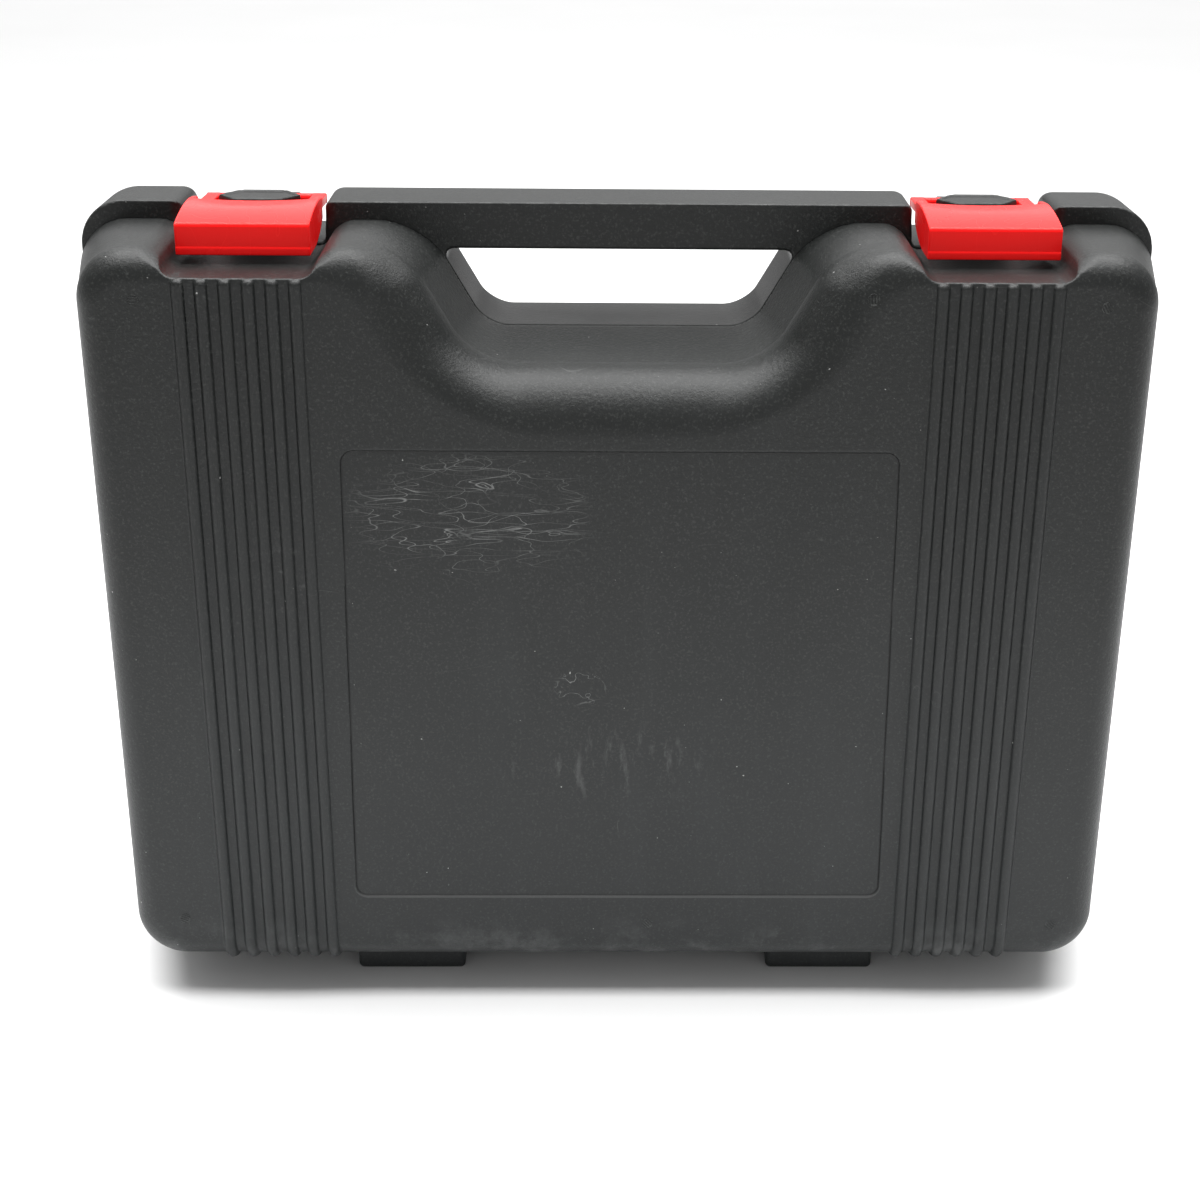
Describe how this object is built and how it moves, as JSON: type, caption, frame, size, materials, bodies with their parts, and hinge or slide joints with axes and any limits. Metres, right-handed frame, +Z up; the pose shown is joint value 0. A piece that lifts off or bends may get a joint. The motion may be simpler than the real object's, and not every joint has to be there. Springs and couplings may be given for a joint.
{
  "type": "hard equipment case",
  "caption": "Hinged double-walled plastic case with a moulded carry handle over the back half and snap latches that swing up over the seam.",
  "frame": {"origin": "on the floor at the middle of the standing case's bounding box; the seam between the halves is on the plane y = 0.008", "axes": "+X along the case's length, to the right seen from the front; +Y from the lid's face to the base's face; +Z up through the handle"},
  "size_m": [0.4266, 0.1, 0.3341],
  "materials": {
    "shell": "fine-grained satin charcoal",
    "tray": "satin black",
    "latch": "glossy red",
    "pin": "drawn steel wire"
  },
  "bodies": {
    "base": {"rear_outer_shell": "shell", "rear_inner_tray": "tray", "hinge_pin_left": "pin", "hinge_pin_right": "pin"},
    "lid": {"front_outer_shell": "shell", "front_inner_tray": "tray"},
    "latch_left": {"latch_left": "latch"},
    "latch_right": {"latch_right": "latch"}
  },
  "joints": [
    {"name": "lid_hinge", "type": "hinge", "parent": "base", "child": "lid", "pos_m": [0, 0.008, 0.0056], "axis": [1, 0, 0], "range_deg": [0, 180]},
    {"name": "latch_left_hinge", "type": "hinge", "parent": "base", "child": "latch_left", "pos_m": [-0.1426, 0.035, 0.3278], "axis": [-1, 0, 0], "range_deg": [0, 100]},
    {"name": "latch_right_hinge", "type": "hinge", "parent": "base", "child": "latch_right", "pos_m": [0.1426, 0.035, 0.3278], "axis": [-1, 0, 0], "range_deg": [0, 100]}
  ]
}
